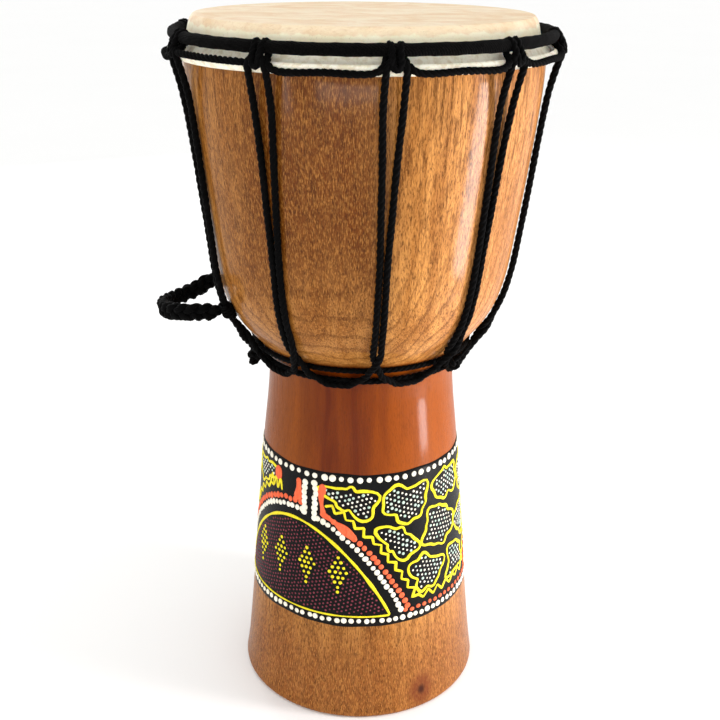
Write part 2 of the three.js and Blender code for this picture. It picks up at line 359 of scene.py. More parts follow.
def varnished_wood():
    """Turned hardwood: leaning growth rings, ribbon figure, fibres, pores, a warmer stain round the neck."""
    s = Shader("varnished_wood", Specular_IOR_Level=0.03, Coat_Weight=0.24, Coat_Roughness=0.13)
    height = s.axis("Z")
    across = s.axis("X")
    # Growth rings round a pith behind the drum, leaning, so that they arch where the bowl turns in.
    wander = s.noise((0.025, 0.025, 0.008), 3)
    leaning = s.stretched(s.place, (1, 1, 1), (0.10, -0.07, 0), (-34, -118, 0))
    flat = s.stretched(leaning, (1, 1, 0.02))
    pith = s.node("VectorMath", {"operation": "LENGTH"})
    s.put(pith.inputs[0], flat)
    years = s.math("MULTIPLY_ADD", wander, 5.5)
    s.put(years.node.inputs[2], s.math("DIVIDE", pith.outputs["Value"], YEAR))
    season = s.math("FRACT", years)
    late_wood = s.math("MULTIPLY", s.span(season, 0.6, 0.9), s.span(season, 1.0, 0.94))
    ribbon = s.noise((0.13, 0.13, 0.004), 3, 0.6, 0.4)
    streak = s.noise((0.55, 0.55, 0.012), 3, 0.65)
    fibre = s.noise((1.3, 1.3, 0.05), 4, 0.7, 0.2)
    short = s.noise((2.3, 2.3, 0.42), 3, 0.7)
    pores = s.noise((3.1, 3.1, 0.36), 2, 0.5)
    flecks = s.span(pores, 0.53, 0.63)
    broad = s.noise((0.02, 0.02, 0.008), 2)
    natural = s.mix(s.span(ribbon, 0.36, 0.64), srgb(158, 100, 42), srgb(206, 144, 76))
    # Wood towards -X is darker, partly the heartwood side of the blank and partly painted shade where less
    # light falls; towards +X it is lighter and rosier, partly the wood's own cast and partly painted light
    # from the right.
    heartwood_and_shade = s.math("MULTIPLY", s.span(across, -74, -34), s.span(across, 24, -4))
    heartwood_and_shade = s.math("MULTIPLY", heartwood_and_shade, s.span(broad, 0.2, 0.6, 0.7, 1))
    heartwood_and_shade = s.math("MULTIPLY", heartwood_and_shade, s.span(height, 168, 232, 0.35, 1))
    natural = s.mix(s.math("MULTIPLY", heartwood_and_shade, 0.92), natural, srgb(96, 44, 0))
    # Painted light, partly: the +X side is made lighter and rosier to stand in for the light and sheen from
    # the right, over the wood's own rosy cast.
    natural = s.mix(s.span(across, 14, 52, 0, 0.4), natural, srgb(214, 146, 96))
    low = s.span(height, 60, 20)
    natural = s.mix(s.math("MULTIPLY", low, 0.8), natural, srgb(130, 72, 28))
    # The rings show where the bowl turns in across them, and the long streaks above.
    late_wood = s.math("MULTIPLY", late_wood, s.span(height, 238, 186, 0.14, 0.6))
    late_wood = s.math("MULTIPLY", late_wood, s.span(low, 0, 1, 1, 0.3))
    natural = s.mix(late_wood, natural, srgb(88, 42, 2))
    streaks = s.math("MULTIPLY", s.span(streak, 0.48, 0.66), s.span(height, 186, 270, 0.22, 0.8))
    natural = s.mix(streaks, natural, srgb(80, 38, 2))
    natural = s.mix(s.span(fibre, 0.46, 0.64, 0, 0.5), natural, srgb(84, 42, 4))
    natural = s.mix(s.span(short, 0.46, 0.64, 0, 0.42), natural, srgb(206, 142, 68))
    stained = s.mix(s.span(ribbon, 0.34, 0.66), srgb(92, 30, 0), srgb(116, 48, 0))
    stained = s.mix(s.span(across, -12, -34, 0, 0.4), stained, srgb(168, 94, 20))
    stained = s.mix(s.span(fibre, 0.45, 0.7, 0, 0.35), stained, srgb(96, 38, 0))
    # Painted light, partly: the stain turns lighter and more orange towards +X, where the light from the
    # right falls.
    stained = s.mix(s.span(across, -6, 36, 0, 0.5), stained, srgb(180, 94, 28))
    below_top = s.span(height, STAIN_TOP, STAIN_TOP - 4)
    stain = s.math("MULTIPLY", below_top, s.span(height, STAIN_FOOT - 6, STAIN_FOOT))
    color = s.mix(stain, natural, stained)
    color = s.mix(s.math("MULTIPLY", flecks, s.span(stain, 0, 1, 0.7, 0.25)), color, srgb(70, 34, 4))
    # One dark knot low on the foot.
    knot = s.node("VectorMath", {"operation": "DISTANCE"})
    s.put(knot.inputs[0], s.stretched(s.place, (1, 1, 0.8)))
    knot.inputs[1].default_value = WOOD_KNOT
    for reach, heart_reach, strength, tone in ((9, 3.5, 0.75, (108, 50, 22)), (3, 0.9, 0.9, (50, 18, 8))):
        spot = s.span(knot.outputs["Value"], reach, heart_reach, 0, strength)
        color = s.mix(spot, color, srgb(*tone))
    varnish = s.node("Bump", None, Height=fibre, Distance=0.012 * MM)
    s.put(s.surface.inputs["Coat Normal"], varnish.outputs[0])
    rough = s.span(fibre, 0.3, 0.8, 0.3, 0.46)
    return s.finish(color, rough, [(fibre, 0.10), (pores, 0.06)])


def goatskin():
    """Rawhide: tan where it is played, fibrous and mottled, whiter where it is bent and folded."""
    s = Shader("goatskin", Subsurface_Weight=0.12, Subsurface_Scale=0.0015, Specular_IOR_Level=0.3)
    fibre = s.noise((0.2, 0.62, 0.62), 6, 0.7, 1.2)
    cloud = s.noise((0.035, 0.055, 0.055), 6, 0.62, 1.4)
    grain = s.noise(1.1, 4, 0.7)
    speck = s.span(s.noise(1.9, 2), 0.66, 0.74)
    bent = s.math("MULTIPLY_ADD", s.noise(0.22, 4), 4.4)
    s.put(bent.node.inputs[2], s.axis("Z"))
    edge = s.span(bent, HEIGHT - 0.2, HEIGHT - 1.2)
    played = s.mix(s.span(cloud, 0.36, 0.66), srgb(241, 221, 188), srgb(230, 198, 158))
    played = s.mix(s.span(fibre, 0.48, 0.72, 0, 0.5), played, srgb(208, 172, 132))
    played = s.mix(s.span(grain, 0.56, 0.74, 0, 0.45), played, srgb(250, 236, 208))
    pale = s.mix(s.span(cloud, 0.3, 0.7), srgb(252, 244, 216), srgb(240, 226, 190))
    pale = s.mix(s.span(grain, 0.55, 0.75, 0, 0.5), pale, srgb(214, 196, 156))
    color = s.mix(edge, played, pale)
    folded = s.mix(s.span(s.noise(0.45, 3), 0.42, 0.66), srgb(255, 248, 228), srgb(236, 224, 196))
    color = s.mix(s.span(s.axis("Z"), HEIGHT - 6, HEIGHT - 10), color, folded)
    color = s.mix(s.math("MULTIPLY", speck, 0.4), color, srgb(160, 118, 74))
    rough = s.span(cloud, 0.3, 0.7, 0.45, 0.65)
    return s.finish(color, rough, [(fibre, 0.12), (grain, 0.14)])


def black_cord():
    """Black nylon cord: near-black, with grey flecks from a fine noise painted into the colour as glints, and
    a faint sheen.
    """
    s = Shader("black_cord", Sheen_Weight=0.015, Sheen_Roughness=0.4, Specular_IOR_Level=0.04)
    fibre = s.noise(5.5, 2, 0.6)
    patch = s.noise(0.22, 3)
    # Painted glints: the fine noise lightens the black to grey in flecks.
    color = s.mix(s.span(fibre, 0.45, 0.8), srgb(1, 1, 1), srgb(14, 12, 12))
    color = s.mix(s.span(patch, 0.55, 0.8, 0, 0.5), color, srgb(20, 18, 18))
    return s.finish(color, s.span(fibre, 0.3, 0.7, 0.55, 0.8), [(fibre, 0.12)])


def black_cloth():
    """A strip of black jersey: ribs of tiny stitches, a little lint."""
    s = Shader("black_cloth", Sheen_Weight=0.015, Sheen_Roughness=0.5, Specular_IOR_Level=0.03)
    stitch = s.node("TexWave", {"wave_type": "BANDS", "bands_direction": "DIAGONAL"}, Vector=s.place)
    stitch.inputs["Scale"].default_value = 0.45
    stitch.inputs["Distortion"].default_value = 2.5
    stitch.inputs["Detail Scale"].default_value = 1.5
    knit = s.noise(2.2, 2, 0.7)
    lint = s.span(s.noise(1.3, 4, 0.8), 0.66, 0.76)
    color = s.mix(s.span(knit, 0.4, 0.75), srgb(1, 1, 1), srgb(16, 14, 13))
    color = s.mix(s.math("MULTIPLY", lint, 0.3), color, srgb(84, 80, 76))
    return s.finish(color, s.span(knit, 0.3, 0.7, 0.75, 0.95), [(stitch.outputs["Fac"], 0.2), (knit, 0.25)])


def iron_wire():
    """Plain iron wire, dull with a few rusty patches."""
    s = Shader("iron_wire", Metallic=0.85)
    rust = s.span(s.noise(0.25, 4, 0.7), 0.5, 0.7)
    color = s.mix(rust, srgb(116, 112, 106), srgb(112, 66, 40))
    return s.finish(color, s.span(rust, 0, 1, 0.4, 0.8), [(s.noise(2, 3), 0.05)])


def paint(name, color, shade, depth=0.04):
    """Brushed acrylic paint: a slight change of shade and brush-drawn gloss."""
    s = Shader(name, Specular_IOR_Level=0.08, Coat_Weight=0.08, Coat_Roughness=0.2)
    brush = s.noise((0.9, 0.9, 0.25), 3, 0.6, 0.6)
    fine = s.noise(1.8, 2)
    tone = s.mix(s.span(brush, 0.3, 0.75), srgb(*color), srgb(*shade))
    return s.finish(tone, s.span(fine, 0.3, 0.7, 0.35, 0.55), [(fine, depth)])


WOOD = varnished_wood()
HIDE = goatskin()
CORD = black_cord()
CLOTH = black_cloth()
IRON = iron_wire()
WHITE = paint("white_paint", (244, 240, 226), (226, 218, 196))
YELLOW = paint("yellow_paint", (240, 226, 44), (222, 200, 30))
ORANGE = paint("orange_paint", (238, 110, 70), (218, 88, 52))
MAROON = paint("maroon_paint", (138, 62, 74), (98, 36, 48))
SAGE = paint("sage_paint", (196, 214, 200), (160, 184, 168))
GROUND = paint("black_paint", (8, 7, 7), (3, 3, 3), 0.08)


# ---- the turned wall ----
wall_curve = outline_curve(OUTER_WALL, 12)


def wall(height):
    """The outer wall's radius at a height."""
    return np.interp(height, wall_curve[:, 1], wall_curve[:, 0])


def hand_made(angle, height):
    """How far the hand-sanded wood strays from round."""
    a = np.radians(angle)
    slow = 0.10 * np.sin(2 * a + 0.7) + 0.05 * np.sin(5 * a + height / 38)
    return slow + 0.04 * np.sin(9 * a - height / 25)


# ---- the cords ----
def pair_angle(pair, height):
    rise = np.clip((height - NECK_RING[1]) / (HOOP[1] - NECK_RING[1]), 0, 1)
    return pair * PAIR_STEP + NECK_ANGLE + (TOP_ANGLE - NECK_ANGLE) * rise


def lift(pair, height):
    """How far a pair's cords are pulled off the wood, where the handle is lashed to them."""
    if pair % PAIRS not in HANDLE_PAIRS:
        return 0
    away = (height - LASHING_HEIGHTS[HANDLE_PAIRS.index(pair % PAIRS)]) / LIFTED_LENGTH
    return CORD_LIFT * math.exp(-away * away)


def leg_radius(pair, height):
    slope = (wall(height + 1) - wall(height - 1)) / 2
    return wall(height) + (TENSION_CORD + CLEARANCE) * math.hypot(1, slope) + lift(pair, height)


def half_spacing(height):
    rise = np.clip((height - MEETING_HEIGHT) / (HOOP[1] - MEETING_HEIGHT), 0, 1)
    return TOUCHING + (SPREAD - TOUCHING) * rise


# Sideways from the pair's middle, radius, how much further out the right cord lies, height.
CROSSING = [
    (-6.6, 47.05, 0, 161.6), (-3.4, 48.5, 0, 163.9), (-1.9, 50.1, 0.9, 167.4), (0.2, 52.1, 2.5, 171.8),
    (1.4, 55.2, 1.2, 175.8),
]
LEG_HEIGHTS = [181, 188, 199, 215, 235, 254]
# The CAD's cords keep a gap to each other at the ring and the neck; here they are drawn tight.
APPROACH = [(3.5, 74.2, 272), (3.6, 76.8, 282), (3.5, 78.2, 286.4), (3.0, 78.5, 288.2)]
ARCH_TURN = 1.1
ARCH = (77.3, 289.5)
NECK_RUN = [(-6, -30), (0, -38), (6, -30)]
NECK_RUN_AWAY = 2.2


def leg(pair, side):
    """One cord of a pair from the neck to the crown ring: side -1 is the left one, 1 the right one."""
    rows = [(across, radius + (over if side > 0 else 0), z) for across, radius, over, z in CROSSING]
    rows += [(half_spacing(z), leg_radius(pair, z), z) for z in LEG_HEIGHTS]
    rows += APPROACH
    turns = [math.degrees(side * across / radius) for across, radius, _ in rows]
    return [at(pair_angle(pair, z) + turn, radius, z) for turn, (_, radius, z) in zip(turns, rows)]


def tension_route():
    """The whole lacing. Both its ends lie between the pairs that hold the handle, where the knot is."""
    first = HANDLE_PAIRS[0]
    points = []
    for pair in range(first, first + PAIRS):
        points += leg(pair, 1)
        points += [at(pair_angle(pair, HEIGHT) + turn, *ARCH) for turn in (ARCH_TURN, -ARCH_TURN)]
        points += leg(pair, -1)[::-1]
        if pair < first + PAIRS - 1:
            middle = pair_angle(pair, 0) + PAIR_STEP / 2
            for turn, way in NECK_RUN:
                points.append(at(middle + turn, *round_wire(NECK_RING, NECK_RUN_AWAY, way)))
    return points


LOOP_RUN = (78.3, 285.9)
RUN_RISE = {8: 2.1, 1: 0.5, 3: -0.4, 5: 0.6, 7: -0.3}  # some runs are pulled up closer to the ring
LOOP_ENTRY = [(-3.1, 77.6, 288.0), (-2.5, 75.6, 289.7)]
LOOP_WRAP = np.linspace(-112, -345, 6)
LOOP_WRAP_AWAY = 1.75
LOOP_WRAP_TURN = -2.1
LOOP_WRAP_ADVANCE = 0.2
LOOP_FRONT = [(-1.1, 78.4, 289.7), (-0.85, 78.8, 287.8)]
BIGHT = (78.8, 286.9)
LOOP_REACH = 5.4
KNOT_PAIR = 4  # the crown cord's knot lies between this pair and the next
CROWN_KNOT_ANGLE = TOP_ANGLE + PAIR_STEP * 4.5
KNOT_GAP = 2.6


def run_height(pair):
    """How high the cord runs from a pair to the next one."""
    return LOOP_RUN[1] + RUN_RISE.get(pair % PAIRS, 0)


def crown_loop(pair):
    """In under the ring, up inside it, over, down in front as a bight, and back the same way."""
    middle = pair_angle(pair, HEIGHT)
    half = list(LOOP_ENTRY)
    for i, way in enumerate(LOOP_WRAP):
        half.append((LOOP_WRAP_TURN + LOOP_WRAP_ADVANCE * i, *round_wire(CROWN, LOOP_WRAP_AWAY, way)))
    half += LOOP_FRONT
    arriving = [(-LOOP_REACH, LOOP_RUN[0], run_height(pair - 1)), *half]
    leaving = [(-LOOP_REACH, LOOP_RUN[0], run_height(pair)), *half]
    there = [at(middle + turn, radius, z) for turn, radius, z in arriving]
    back = [at(middle - turn, radius, z) for turn, radius, z in leaving]
    return there + [at(middle, *BIGHT)] + back[::-1]


def crown_loop_route():
    first = KNOT_PAIR + 1
    points = [at(CROWN_KNOT_ANGLE + KNOT_GAP, LOOP_RUN[0], run_height(KNOT_PAIR))]
    for pair in range(first, first + PAIRS):
        if pair > first:
            points.append(at(pair_angle(pair, HEIGHT) - PAIR_STEP / 2, LOOP_RUN[0], run_height(pair - 1)))
        points += crown_loop(pair)
    return points + [at(CROWN_KNOT_ANGLE - KNOT_GAP, LOOP_RUN[0], run_height(KNOT_PAIR))]


def knot_points(angle, radius, height, cord_radius):
    """An overhand knot pulled tight: a trefoil, flattened towards the drum."""
    t = np.linspace(0.35, 2 * np.pi - 0.35, 21)
    across = (np.sin(t) + 2 * np.sin(2 * t)) * cord_radius * 1.054
    up = (np.cos(t) - 2 * np.cos(2 * t)) * cord_radius * 1.054
    depth = -np.sin(3 * t) * cord_radius * 1.75
    sideways, outward = at(angle + 90, 1, 0), at(angle, 1, 0)
    middle = at(angle, radius, height)
    return middle + across[:, None] * sideways + depth[:, None] * outward + up[:, None] * np.array([0, 0, 1])


def frayed_tail(shape, points, radius, seed, strands=12, spread=1.1, length=2.6):
    """A short end of rope whose last few millimetres have come apart into single fibres."""
    line = rope(shape, points, radius)
    random = np.random.default_rng(seed)
    tip, ahead = line[-1], line[-1] - line[-4]
    ahead = ahead / np.linalg.norm(ahead)
    for _ in range(strands):
        start = tip - ahead * 1.2 + random.normal(0, radius * 0.35, 3)
        end = tip + ahead * length * random.uniform(0.5, 1) + random.normal(0, spread / 2, 3)
        bend = (start + end) / 2 + random.normal(0, spread / 4, 3)
        fibre = cord_line([start, bend, end], 0.6)
        shape.add_tube(fibre, circle_section(len(fibre), np.linspace(0.14, 0.05, len(fibre)), 5))


# Radius and pitch of the drawn ropes. Their lobes make them a little thicker than the cords they stand for.
LACING_ROPE = (1.45, 9)
CROWN_ROPE = (1.4, 7.4)
NECK_RING_ROPE = 1.45
NECK_TIE_ROPE = 1.22
NECK_RING_TURNS = 32
NECK_TIE_TURNS = 38


def lacing():
    shape = Shape()
    line = rope(shape, tension_route(), *LACING_ROPE)
    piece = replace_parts(shape.piece("laced_tension_cord", CORD), "tension_cord")


def crown_loops():
    shape = Shape()
    line = rope(shape, crown_loop_route(), *CROWN_ROPE, step=0.8)
    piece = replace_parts(shape.piece("looped_crown_cord", CORD), "crown_loop_cord")


def neck_ropes():
    """The rope ring that the lacing is hitched to, and the thinner tie above it."""
    ring = Shape()
    rope_hoop(ring, NECK_RING, NECK_RING_ROPE, NECK_RING_TURNS)
    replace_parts(ring.piece("laid_neck_rope", CORD), "neck_ring_rope")
    tie = Shape()
    rope_hoop(tie, TIE_RING, NECK_TIE_ROPE, NECK_TIE_TURNS)
    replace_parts(tie.piece("laid_neck_tie", CORD), "neck_tie_cord")


# Each knot: its name, the CAD node, angle, radius, height, cord radius, then the whole ropes and the frayed
# tails that leave it, each as (angle, radius, height) points from the knot outwards.
KNOTS = [
    (
        "neck_knot_rope", "neck_tie_knot", 50, 50.0, 164.6, 0.85, [],
        [[(50.5, 51.4, 166.2), (51, 53.4, 168.8), (51.6, 55, 171.4), (52.2, 56, 173)]],
    ),
    (
        "lacing_knot_rope", "tension_cord_knot", -75, 47.9, 158.4, 0.9,
        [[(-76.5, 48.2, 158.8), (-81, 47.7, 159.4), (-88, 47.2, 160.7), (-94, 47.05, 161.6)]],
        [[(-77, 48.4, 157.8), (-80.5, 48.2, 157), (-84, 47.4, 156)]],
    ),
    (
        "crown_knot_rope", "crown_loop_knot", CROWN_KNOT_ANGLE, 79.0, 284.0, 1.0, [],
        [
            [(CROWN_KNOT_ANGLE - 1.2, 79.8, 282.4), (CROWN_KNOT_ANGLE - 2.4, 79.4, 279),
             (CROWN_KNOT_ANGLE - 3, 78, 275)],
            [(CROWN_KNOT_ANGLE + 1.2, 79.8, 282.4), (CROWN_KNOT_ANGLE + 2.4, 79.4, 279.6),
             (CROWN_KNOT_ANGLE + 3, 78.6, 277)],
        ],
    ),
]


def knots():
    for seed, (name, node, angle, radius, height, cord_radius, leads, tails) in enumerate(KNOTS):
        shape = Shape()
        rope(shape, knot_points(angle, radius, height, cord_radius), cord_radius * 1.3, step=0.6)
        for lead in leads:
            rope(shape, [at(*point) for point in lead], TENSION_CORD)
        for tail in tails:
            seed += 10
            frayed_tail(shape, [at(*point) for point in tail], cord_radius * 0.95, seed)
        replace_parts(shape.piece(name, CORD), node)


# ---- the handle ----
HANDLE_ROUTE = [
    (-62.4, -27.8, 184), (-66.4, -29.1, 184.4), (-71.1, -29.3, 184.3), (-76.2, -26.9, 183.7),
    (-80.7, -21.7, 182.6), (-83.5, -14.8, 181.3), (-84.5, -6.7, 180.2), (-83.1, 0.7, 179.5),
    (-79.8, 6.3, 179.6), (-75.3, 9.9, 180.6), (-71.2, 12, 182.3), (-68.1, 13.1, 184.4),
]
PLAIT_RISE = 2.1  # how far a strand swings up and out from the plait's middle
PLAIT_DEPTH = 1.0
PLAIT_TAPER = 4.5
STRAND = 1.8
STRAND_PITCH = 8.4
PLAIT_REPEAT = 13.5
LASHING_TURNS = 4
LASHING_RISE = 1.45
LASHING_CORD = 0.78
LASHING_PITCH = 4.6
FINE_STEP = 0.5


def lashing_middle(pair, height):
    return at(pair_angle(pair, height), leg_radius(pair, height), height)


def handle():
    """Three strands of cord plaited, whose ends run in under the lashings."""
    ends = [lashing_middle(pair, height) for pair, height in zip(HANDLE_PAIRS, LASHING_HEIGHTS)]
    route = np.array(HANDLE_ROUTE)
    run_in = [ends[0] * 0.55 + route[0] * 0.45, *route, ends[1] * 0.55 + route[-1] * 0.45]
    line = cord_line(run_in, FINE_STEP)
    along = np.arange(len(line)) * FINE_STEP
    _, side, normal = line_frames(line)
    total = along[-1]
    narrowing = np.clip(np.minimum(along, total - along) / PLAIT_TAPER, 0, 1) ** 0.5
    shape = Shape()
    for strand in range(3):
        phase = 2 * np.pi * (along / PLAIT_REPEAT + strand / 3)
        up = PLAIT_RISE * np.sin(phase) * narrowing
        out = PLAIT_DEPTH * np.sin(2 * phase) * narrowing
        strand_line = line + up[:, None] * normal + out[:, None] * side
        thick = STRAND * (0.72 + 0.28 * narrowing)
        shape.add_tube(strand_line, rope_section(along, thick, STRAND_PITCH, sides=15))
    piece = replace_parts(shape.piece("braided_handle", CORD, "handle"), "handle_plait")


def lashing(name, node, index):
    """Turns of thin cord wound tightly round both cords of a pair."""
    pair, height = HANDLE_PAIRS[index], LASHING_HEIGHTS[index]
    middle = lashing_middle(pair, height)
    along = lashing_middle(pair, height + 3) - lashing_middle(pair, height - 3)
    along /= np.linalg.norm(along)
    sideways = at(pair_angle(pair, height) + 90, 1, 0)
    outward = np.cross(sideways, along)
    shape = Shape()
    reach = TENSION_CORD + LASHING_CORD
    t = np.linspace(0, 2 * np.pi * LASHING_TURNS, LASHING_TURNS * 40)
    x = TOUCHING * np.clip(1.7 * np.cos(t), -1, 1) + reach * np.cos(t)
    y = reach * np.sin(t)
    z = (t / (2 * np.pi) - LASHING_TURNS / 2) * LASHING_RISE
    line = even(middle + x[:, None] * sideways - y[:, None] * outward + z[:, None] * along, FINE_STEP)
    places = np.arange(len(line)) * FINE_STEP
    shape.add_tube(line, rope_section(places, LASHING_CORD, LASHING_PITCH, sides=12))
    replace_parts(shape.piece(name, CORD), node)


lacing()
crown_loops()
neck_ropes()
knots()
handle()
lashing("front_lashing_turns", "handle_lashing_front", 0)
lashing("rear_lashing_turns", "handle_lashing_rear", 1)


# ---- the shell ----
SEGMENTS = 240


def turned(profile, stray):
    """Rings of points from a closed profile of (radius, height), turned round the drum's axis."""
    angle = np.linspace(0, 360, SEGMENTS, endpoint=False)[:, None]
    radius, height = np.asarray(profile).T
    return at(angle, radius + stray(angle, height), height)


def shell():
    """The goblet: one fine outline round the foot, wall, rim and hollow, slightly out of round."""
    turn = np.radians(np.linspace(-90, -20, 7))
    foot = np.stack([FOOT_RADIUS - FOOT_EDGE * (1 - np.cos(turn)), FOOT_EDGE * (1 + np.sin(turn))], axis=-1)
    rim = outline_curve([OUTER_WALL[-1], *RIM, INNER_WALL[0]], 5)[1:-1]
    hollow = outline_curve(INNER_WALL, 9)
    profile = np.vstack([foot, wall_curve, rim, hollow])
    on_hollow = np.arange(len(profile)) >= len(profile) - len(hollow)
    settle = np.clip((profile[:, 1] - 1) / 8, 0, 1) * np.clip((HEIGHT - 14 - profile[:, 1]) / 6, 0, 1)

    def stray(angle, height):
        """The outside strays a little from round, and the hollow keeps the facets of the gouge."""
        a = np.radians(angle)
        facets = 0.32 * np.abs(np.sin(15 * a + 1.3 * np.sin(height / 16)))
        gouge = facets + 0.22 * np.sin(height / 5.5 + 3 * np.sin(4 * a))
        return np.where(on_hollow, gouge, hand_made(angle, height)) * settle

    shape = Shape()
    shape.add_rings(turned(profile, stray), closed=True)
    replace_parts(shape.piece("varnished_shell", WOOD), "shell")


shell()


# ---- the painted band ----
# The pattern is a plain one: twice round the drum a dome filled with fine dots, and between the domes rounded
# cells. It is laid out flat, as (x along the band from a dome's middle, height), at this radius.
BAND = (46.1, 117.7)
BAND_RADIUS = 47
DOMES = [-38, 142]
PITCH = math.pi * BAND_RADIUS
DOME_HALF_WIDTH = 44
DOME_FOOT = 51
DOME_RISE = 42
PAINT = 0.14
random = np.random.default_rng(11)


def on_band(x, z, dome):
    """Angle and radius of a flat point of the band."""
    angle = dome + np.degrees(x / BAND_RADIUS)
    return angle, wall(z) + hand_made(angle, z) + PAINT


def band_frame(x, z, dome):
    """The point on the wood, and unit vectors along, up and out of the wall there."""
    angle, radius = on_band(x, z, dome)
    slope = (wall(z + 1) - wall(z - 1)) / 2
    along, out = at(angle + 90, 1, 0), at(angle, 1, 0)
    up = out * np.asarray(slope)[..., None] + np.array([0, 0, 1])
    up /= np.linalg.norm(up, axis=-1, keepdims=True)
    return at(angle, radius, z), along, up, np.cross(along, up)


DOT_RINGS = ((1.0, -0.06), (0.96, 0.3), (0.8, 0.68), (0.45, 0.94))


def dot(shape, x, z, dome, width, tall=None, thick=0.3, turn=0.0, sides=12):
    """A dome of paint, round or drawn out."""
    middle, along, up, out = band_frame(x, z, dome)
    a = np.linspace(0, 2 * np.pi, sides, endpoint=False)
    u, v = np.cos(a) * width / 2, np.sin(a) * (tall or width) / 2
    u, v = u * math.cos(turn) - v * math.sin(turn), u * math.sin(turn) + v * math.cos(turn)
    rings = [
        middle + (u * r)[:, None] * along + (v * r)[:, None] * up + out * thick * h for r, h in DOT_RINGS
    ]
    points = np.vstack([*rings, [middle + out * thick]])
    faces = [tuple(range(sides))[::-1]]
    for ring in range(len(DOT_RINGS) - 1):
        for j in range(sides):
            k = (j + 1) % sides
            low, high = ring * sides, (ring + 1) * sides
            faces.append((low + j, low + k, high + k, high + j))
    last = (len(DOT_RINGS) - 1) * sides
    faces += [(last + j, last + (j + 1) % sides, last + sides) for j in range(sides)]
    shape.add(points, faces)


STROKE_SECTION = ((1, -0.06), (0.9, 0.5), (0.55, 0.88), (0, 1), (-0.55, 0.88), (-0.9, 0.5), (-1, -0.06))


def stroke(shape, line, dome, width, thick=0.28, closed=False, unevenness=0.14):
    """A line of paint squeezed from a bottle: rounded, uneven, with round ends. The line is flat points."""
    line = even(line, 0.6, closed)
    x, z = line.T
    if closed:
        ahead = np.roll(line, -1, axis=0) - np.roll(line, 1, axis=0)
        ahead /= np.linalg.norm(ahead, axis=1)[:, None]
    else:
        ahead = directions(line)
    middle, along, up, out = band_frame(x, z, dome)
    across = along * -ahead[:, 1:] + up * ahead[:, :1]
    place = np.arange(len(line)) * 0.6
    half = width / 2 * (1 + unevenness * np.sin(place / 1.9 + x[0]) + unevenness * np.sin(place / 4.3 + z[0]))
    if not closed:
        from_end = np.minimum(place, place[-1] - place) / (width / 2)
        half = half * np.sqrt(np.clip(1 - (1 - np.clip(from_end, 0.05, 1)) ** 2, 0, 1))
    u, h = np.array(STROKE_SECTION).T
    height = thick * np.clip(half / (width / 2), 0.2, 1)
    rings = middle[:, None] + across[:, None] * (half[:, None] * u)[..., None]
    rings = rings + out[:, None] * (height[:, None] * h)[..., None]
    shape.add_rings(rings[:, ::-1], closed=closed)


def dome_height(x):
    """The height of a dome's outline at a distance from its middle."""
    return DOME_FOOT + DOME_RISE * np.clip(1 - (np.asarray(x) / DOME_HALF_WIDTH) ** 2, 0, 1) ** 0.9


def dome_line(outset=0.0):
    """The dome's outline from left to right, moved outwards."""
    x = DOME_HALF_WIDTH * np.sin(np.linspace(-np.pi / 2, np.pi / 2, 121))
    line = even(np.stack([x, dome_height(x)], axis=-1), 1)
    moved = line + outset * leftwards(directions(line))
    return moved[moved[:, 1] >= DOME_FOOT]


def row(line, pitch):
    """Places along a line for a row of dots, unevenly spaced."""
    places = even(line, pitch)
    return places + random.normal(0, 0.14, places.shape)


EDGE_DOT_ROWS = ((115.3, 3.9, 2.2, 3.2), (48.7, 3.25, 2.1, 2.9))  # height, pitch, smallest and largest dot
CHIMNEY = (5.2, 10.6)  # the two bead columns above each dome
CHIMNEY_TOP = 112
BEAD_OUTSET = 5.2
CORAL_OUTSET = 8.3
ZIGZAG_OUTSET = 13.2
ZIGZAG_FOOT = 56
DIAMOND_PLACES = (-22, -7.4, 7.4, 22)
DIAMOND_ROWS = (1, 2, 3, 4, 3, 2, 1, 1)
DIAMOND_PITCH = 2.35
CELL_SEEDS = [
    (-47, 106), (-21, 102), (4, 107), (27, 101), (49, 106), (-27, 84), (-3, 87), (22, 80), (38, 88),
    (-12, 66), (10, 62),
]
CELL_GAP = 1.5
DOT_GRID = 2.15


def edge_dots():
    shape = Shape()
    for height, pitch, small, large in EDGE_DOT_ROWS:
        count = int(2 * math.pi * wall(height) / pitch)
        for i in range(count):
            x = (i + random.normal(0, 0.06)) * 2 * PITCH / count
            width = random.uniform(small, large)
            tall = width * random.uniform(0.94, 1.12)
            dot(shape, x, height + random.normal(0, 0.12), 0, width, tall, 0.45, random.uniform(0, 3), 14)
    return shape


def zigzag_line():
    """From a dome's right flank down, along the foot of the band and up the next dome's left flank."""
    right = dome_line(ZIGZAG_OUTSET)
    right = right[(right[:, 0] > 15) & (right[:, 1] > ZIGZAG_FOOT)]
    left = np.stack([PITCH - right[::-1, 0], right[::-1, 1]], axis=-1)
    line = even(np.vstack([right, left]), 2.8)
    swing = np.where(np.arange(len(line)) % 2, 1.3, -1.3) * random.uniform(0.5, 1.4, len(line))
    return line + swing[:, None] * leftwards(directions(line))


def clear_of_domes(x, z):
    """How far a flat point lies outside the nearer dome's zigzag line."""
    line = dome_line(0)
    nearest = [np.hypot(line[:, 0] + shift - x, line[:, 1] - z).min() for shift in (0, PITCH)]
    return min(nearest) - ZIGZAG_OUTSET


def in_cell(x, z, seed, others):
    own = math.hypot(x - seed[0], z - seed[1])
    nearest = min(math.hypot(x - other[0], z - other[1]) for other in others)
    inside = ZIGZAG_FOOT + 2.6 < z < 111.5 and clear_of_domes(x, z) > 2.6
    return inside and (nearest - own) / 2 > CELL_GAP


